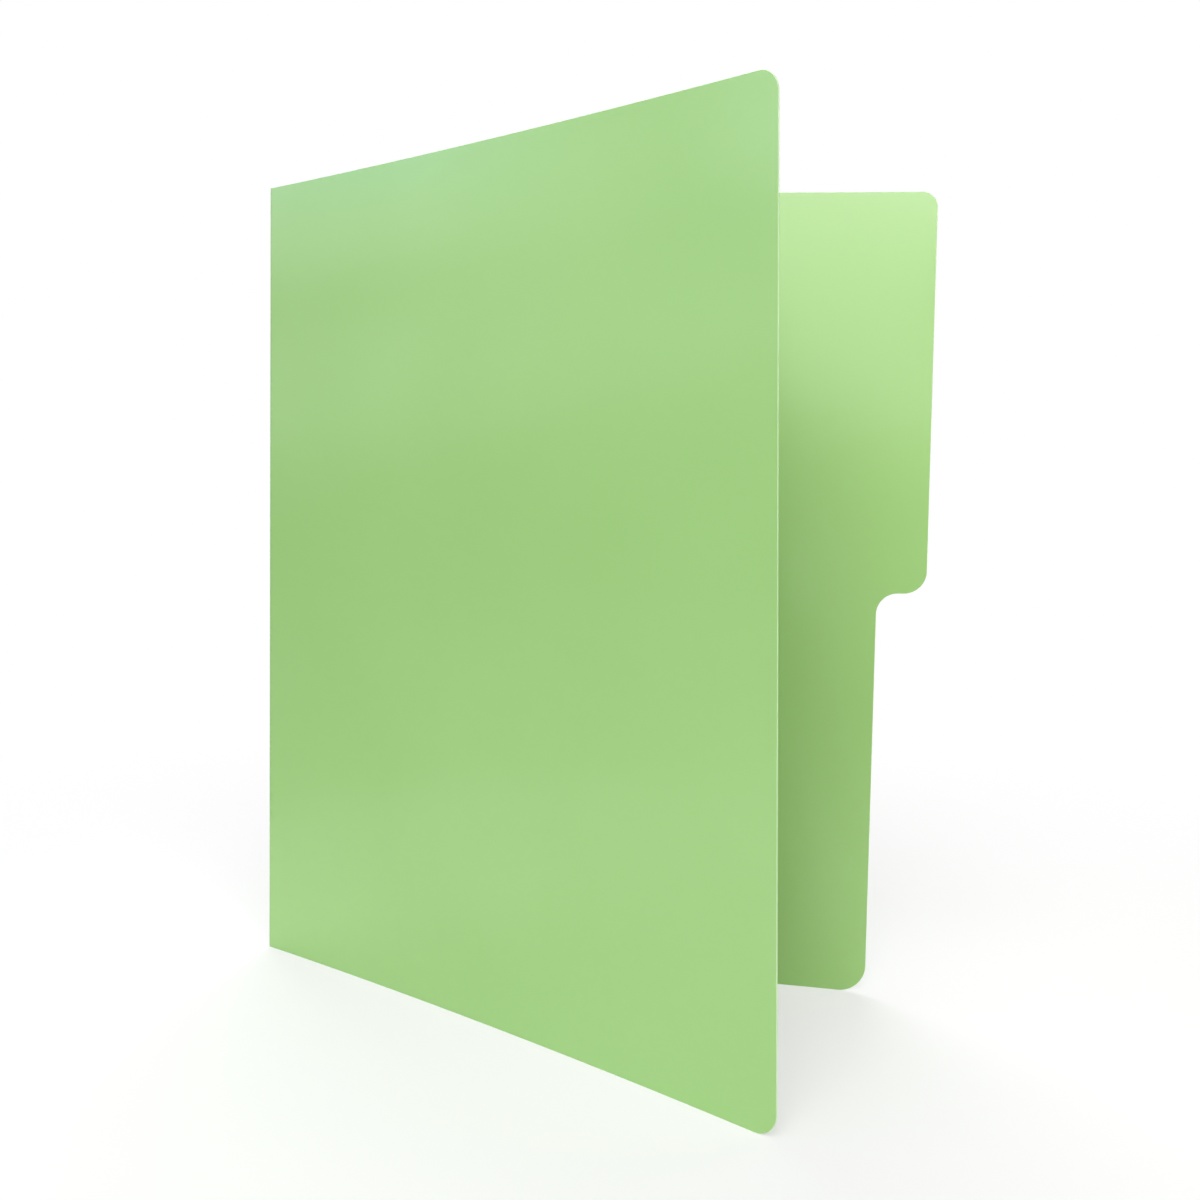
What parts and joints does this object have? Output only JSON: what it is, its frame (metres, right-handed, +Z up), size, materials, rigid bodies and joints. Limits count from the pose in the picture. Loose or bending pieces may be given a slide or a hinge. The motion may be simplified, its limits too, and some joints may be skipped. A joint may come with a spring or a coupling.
{
  "type": "file folder",
  "caption": "Open file folder of thin semi-gloss plastic sheet: a plain front leaf and a back leaf with a half-cut tab, joined by one creased fold that works as a living hinge.",
  "frame": {"origin": "under the middle of the open folder, on the surface that it stands on", "axes": "+Z up along the fold; the back leaf runs along +X from the fold; the front leaf opens towards -Y"},
  "size_m": [0.2524, 0.1478, 0.2985],
  "materials": {
    "sheet": "pastel green polypropylene sheet, semi-gloss, paler on its cut edges"
  },
  "bodies": {
    "back": {"back_leaf": "sheet", "fold_strip": "sheet"},
    "front": {"front_leaf": "sheet"}
  },
  "joints": [
    {"name": "fold_hinge", "type": "hinge", "parent": "back", "child": "front", "pos_m": [-0.12525, 0.06323, 0.14925], "axis": [0, 0, -1], "range_deg": [-29.6, 146], "deforming": ["fold_strip"]}
  ]
}
